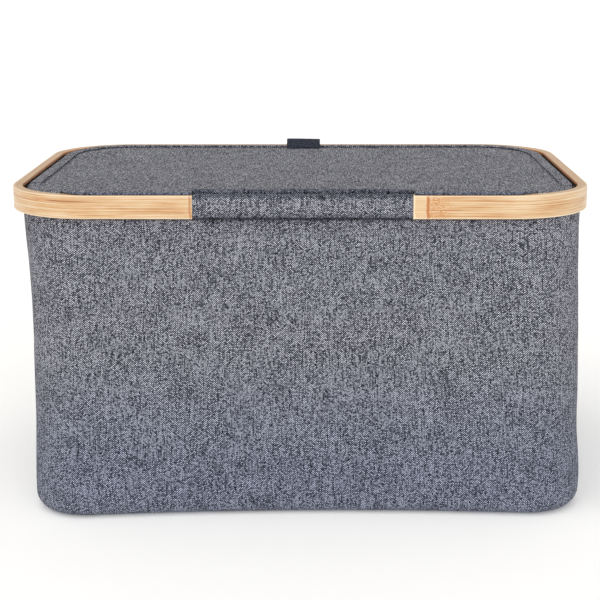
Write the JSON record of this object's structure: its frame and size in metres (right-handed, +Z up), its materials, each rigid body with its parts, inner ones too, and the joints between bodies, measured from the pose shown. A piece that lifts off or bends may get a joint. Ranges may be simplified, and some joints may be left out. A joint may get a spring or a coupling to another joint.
{
  "type": "laundry hamper with lid",
  "caption": "Boxy fabric laundry hamper on a stiff base, hung in a bent bamboo rim hoop, with a flat fabric-covered lid that hinges at the near side and a pull tab at the far side.",
  "frame": {"origin": "middle of the bottom face, on the floor", "axes": "+Z up; -Y is the hinge side, seen as the near side; X runs along the hinge and the long sides"},
  "size_m": [0.6, 0.4, 0.353],
  "materials": {
    "bamboo": "satin lacquer",
    "melange_fabric": "woven grey melange",
    "lining": "plain coated weave",
    "dark_webbing": "ribbed webbing",
    "stiffener": "matte",
    "plastic_strip": "matte",
    "fibreboard": "matte grey board",
    "steel": "zinc plated"
  },
  "bodies": {
    "basket": {"rim_hoop": "bamboo", "scarf_rivets": "steel", "hem_hoop": "plastic_strip", "top_hem": "melange_fabric", "hem_screws": "steel", "rim_sleeve": "melange_fabric", "wall_shell": "melange_fabric", "bottom_shell": "melange_fabric", "front_board": "stiffener", "back_board": "stiffener", "left_board": "stiffener", "right_board": "stiffener", "base_board": "fibreboard", "lining_wall": "lining", "lining_bottom": "lining"},
    "lid": {"lid_board": "fibreboard", "lid_top_cover": "melange_fabric", "lid_under_cover": "lining", "lid_binding": "melange_fabric", "hinge_strip": "melange_fabric", "pull_tab": "dark_webbing"}
  },
  "joints": [
    {"name": "lid_hinge", "type": "hinge", "parent": "basket", "child": "lid", "pos_m": [0, -0.1855, 0.345], "axis": [1, 0, 0], "range_deg": [0, 175]}
  ]
}
